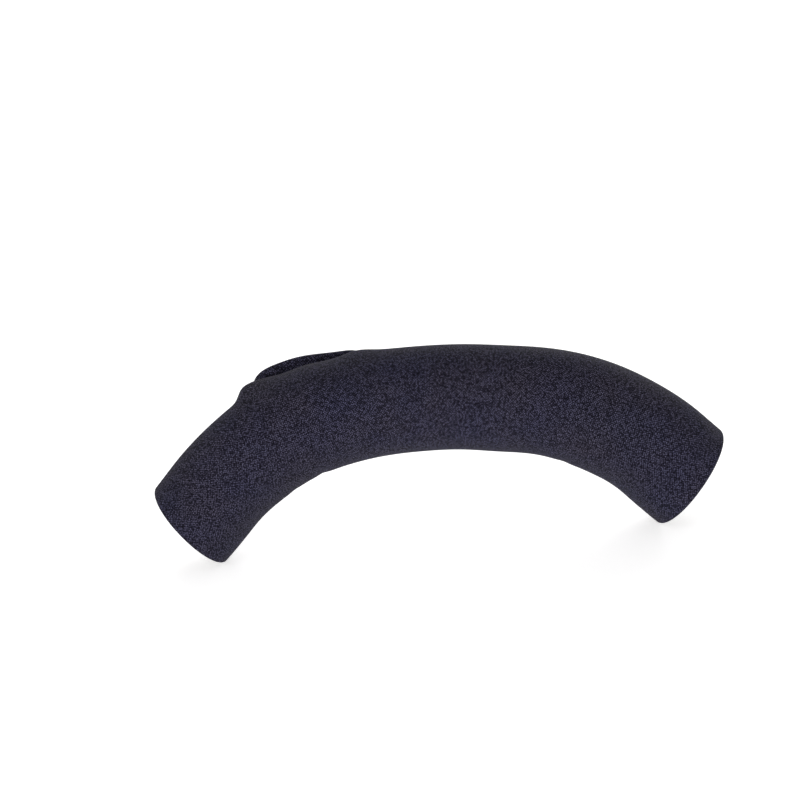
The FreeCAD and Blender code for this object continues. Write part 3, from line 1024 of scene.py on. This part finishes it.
# --- the stage ---
FLOOR_REACH = 30.0  # to the front and to either side
FLOOR_BACK = 1.6
FLOOR_CURVE = 0.8
FLOOR_RISE = 1.6
FLOOR_STEPS = 12  # in the curve
FLOOR_GLOW = 0.56
LIGHTS = {  # place, size across and power
    "low_front": ((-0.05, -0.75, -0.005), 0.5, 6.0),
    "key": ((-0.5, -0.9, 0.7), 0.7, 2.0),
    "back": ((0.3, 0.9, 0.4), 0.7, 5.0),
}
LIT_POINT = (0.0, 0.0, -0.015)
SKY_COLOUR = (0.96, 0.97, 1.0, 1.0)
SKY_LIGHT = 0.36
SKY_SEEN = 1.0  # its strength where the camera looks at it
CAMERA_TURNS = (15.5, 1.6, -5.6)  # degrees of pitch, of turn and of roll
CAMERA_OFFSET = Vector((8.0, -0.8, 500.3)) * MM  # from the camera to the crown: right, down and forward


def floor(level):
    """A pale sheet that runs back and curves up behind the object."""
    flat_back = FLOOR_BACK - FLOOR_CURVE
    profile = [(-FLOOR_REACH, 0.0), (flat_back, 0.0)]
    for i in range(1, FLOOR_STEPS + 1):
        turn = math.radians(90 * i / FLOOR_STEPS)
        y = flat_back + FLOOR_CURVE * math.sin(turn)
        profile.append((y, FLOOR_CURVE - FLOOR_CURVE * math.cos(turn)))
    profile.append((FLOOR_BACK, FLOOR_RISE + FLOOR_CURVE))
    points = [(x, y, level + z) for x in (-FLOOR_REACH, FLOOR_REACH) for y, z in profile]
    ob = new_object("floor", points, grid_faces(2, len(profile)), floor_paint())


def area_light(name, where, size, power):
    """A round white lamp that faces the object."""
    data = bpy.data.lights.new(name, "AREA")
    data.shape = "DISK"
    data.size = size
    data.energy = power
    ob = bpy.data.objects.new(name, data)
    ob.location = where
    ob.rotation_euler = (Vector(LIT_POINT) - Vector(where)).to_track_quat("-Z", "Y").to_euler()
    bpy.context.scene.collection.objects.link(ob)


def lights():
    """Three lamps, and a sky that looks white but lights the object only softly."""
    for name, (where, size, power) in LIGHTS.items():
        area_light(name, where, size, power)
    world = bpy.data.worlds.new("studio")
    world.use_nodes = True
    tree = world.node_tree
    sky = tree.nodes["Background"]
    sky.inputs[0].default_value = SKY_COLOUR
    seen = tree.nodes.new("ShaderNodeLightPath").outputs["Is Camera Ray"]
    strength = tree.nodes.new("ShaderNodeMapRange")
    strength.inputs["To Min"].default_value = SKY_LIGHT
    strength.inputs["To Max"].default_value = SKY_SEEN
    tree.links.new(seen, strength.inputs["Value"])
    tree.links.new(strength.outputs["Result"], sky.inputs[1])
    bpy.context.scene.world = world
    bpy.context.scene.view_settings.view_transform = "Standard"


def camera():
    """The photograph's view: from the front, 15.5 degrees above, half a metre off, rolled 5.6 degrees."""
    pitch, turn, roll = (math.radians(angle) for angle in CAMERA_TURNS)
    data = bpy.data.cameras.new("camera")
    data.sensor_width = 36.0
    data.lens = 78.75
    data.clip_start = 0.01
    data.clip_end = 20.0
    ob = bpy.data.objects.new("camera", data)
    # rows of this matrix are the camera's right, down and forward directions
    level = Matrix(((1, 0, 0), (0, 0, -1), (0, 1, 0)))
    aim = Matrix.Rotation(roll, 3, "Z") @ Matrix.Rotation(pitch, 3, "X")
    aim = aim @ Matrix.Rotation(turn, 3, "Y") @ level
    facing = aim.transposed() @ Matrix.Diagonal((1, -1, -1))
    ob.matrix_world = Matrix.Translation(-(aim.transposed() @ CAMERA_OFFSET)) @ facing.to_4x4()
    bpy.context.scene.collection.objects.link(ob)
    bpy.context.scene.camera = ob


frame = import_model()
cad_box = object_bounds()
materials = make_materials()
sleeve(materials)
for side, (middle, tip_angles) in TABS.items():
    tapes(side, middle, materials)
    tab(side, middle, tip_angles, materials)
    tab_seams(side, middle, materials)
floor(cad_box[0].z)
lights()
camera()
